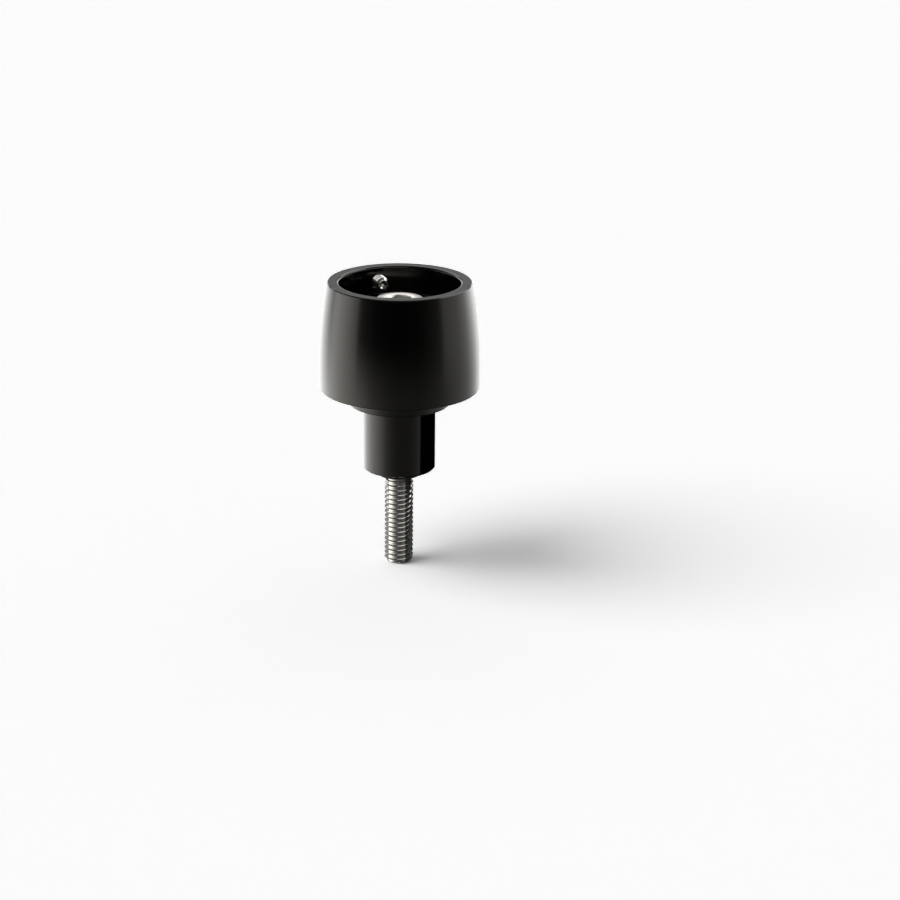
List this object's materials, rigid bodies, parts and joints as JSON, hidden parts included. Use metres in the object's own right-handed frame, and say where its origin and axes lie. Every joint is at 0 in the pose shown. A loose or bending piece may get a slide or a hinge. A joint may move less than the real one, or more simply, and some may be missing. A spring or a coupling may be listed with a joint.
{
  "type": "bar end weight",
  "caption": "Weight for the end of a motorbike handlebar: a barrel-shaped cup on a stepped adapter, clamped by a socket head screw.",
  "frame": {"origin": "on the turning axis, at the collar's lower face, which meets the end of the handlebar", "axes": "+Z along the axis out of the handlebar, towards the open mouth; +Y through the grub screw"},
  "size_m": [0.0324, 0.0324, 0.0594],
  "materials": {
    "black_weight": "black anodised, satin",
    "black_adapter": "black anodised, satin",
    "stainless": "bright stainless steel",
    "black_rubber": "smooth",
    "grub_steel": "bright steel"
  },
  "bodies": {
    "root": {"weight_cup": "black_weight", "adapter_sleeve": "black_adapter", "clamp_screw": "stainless", "rubber_ring": "black_rubber", "grub_screw": "grub_steel"}
  },
  "joints": []
}
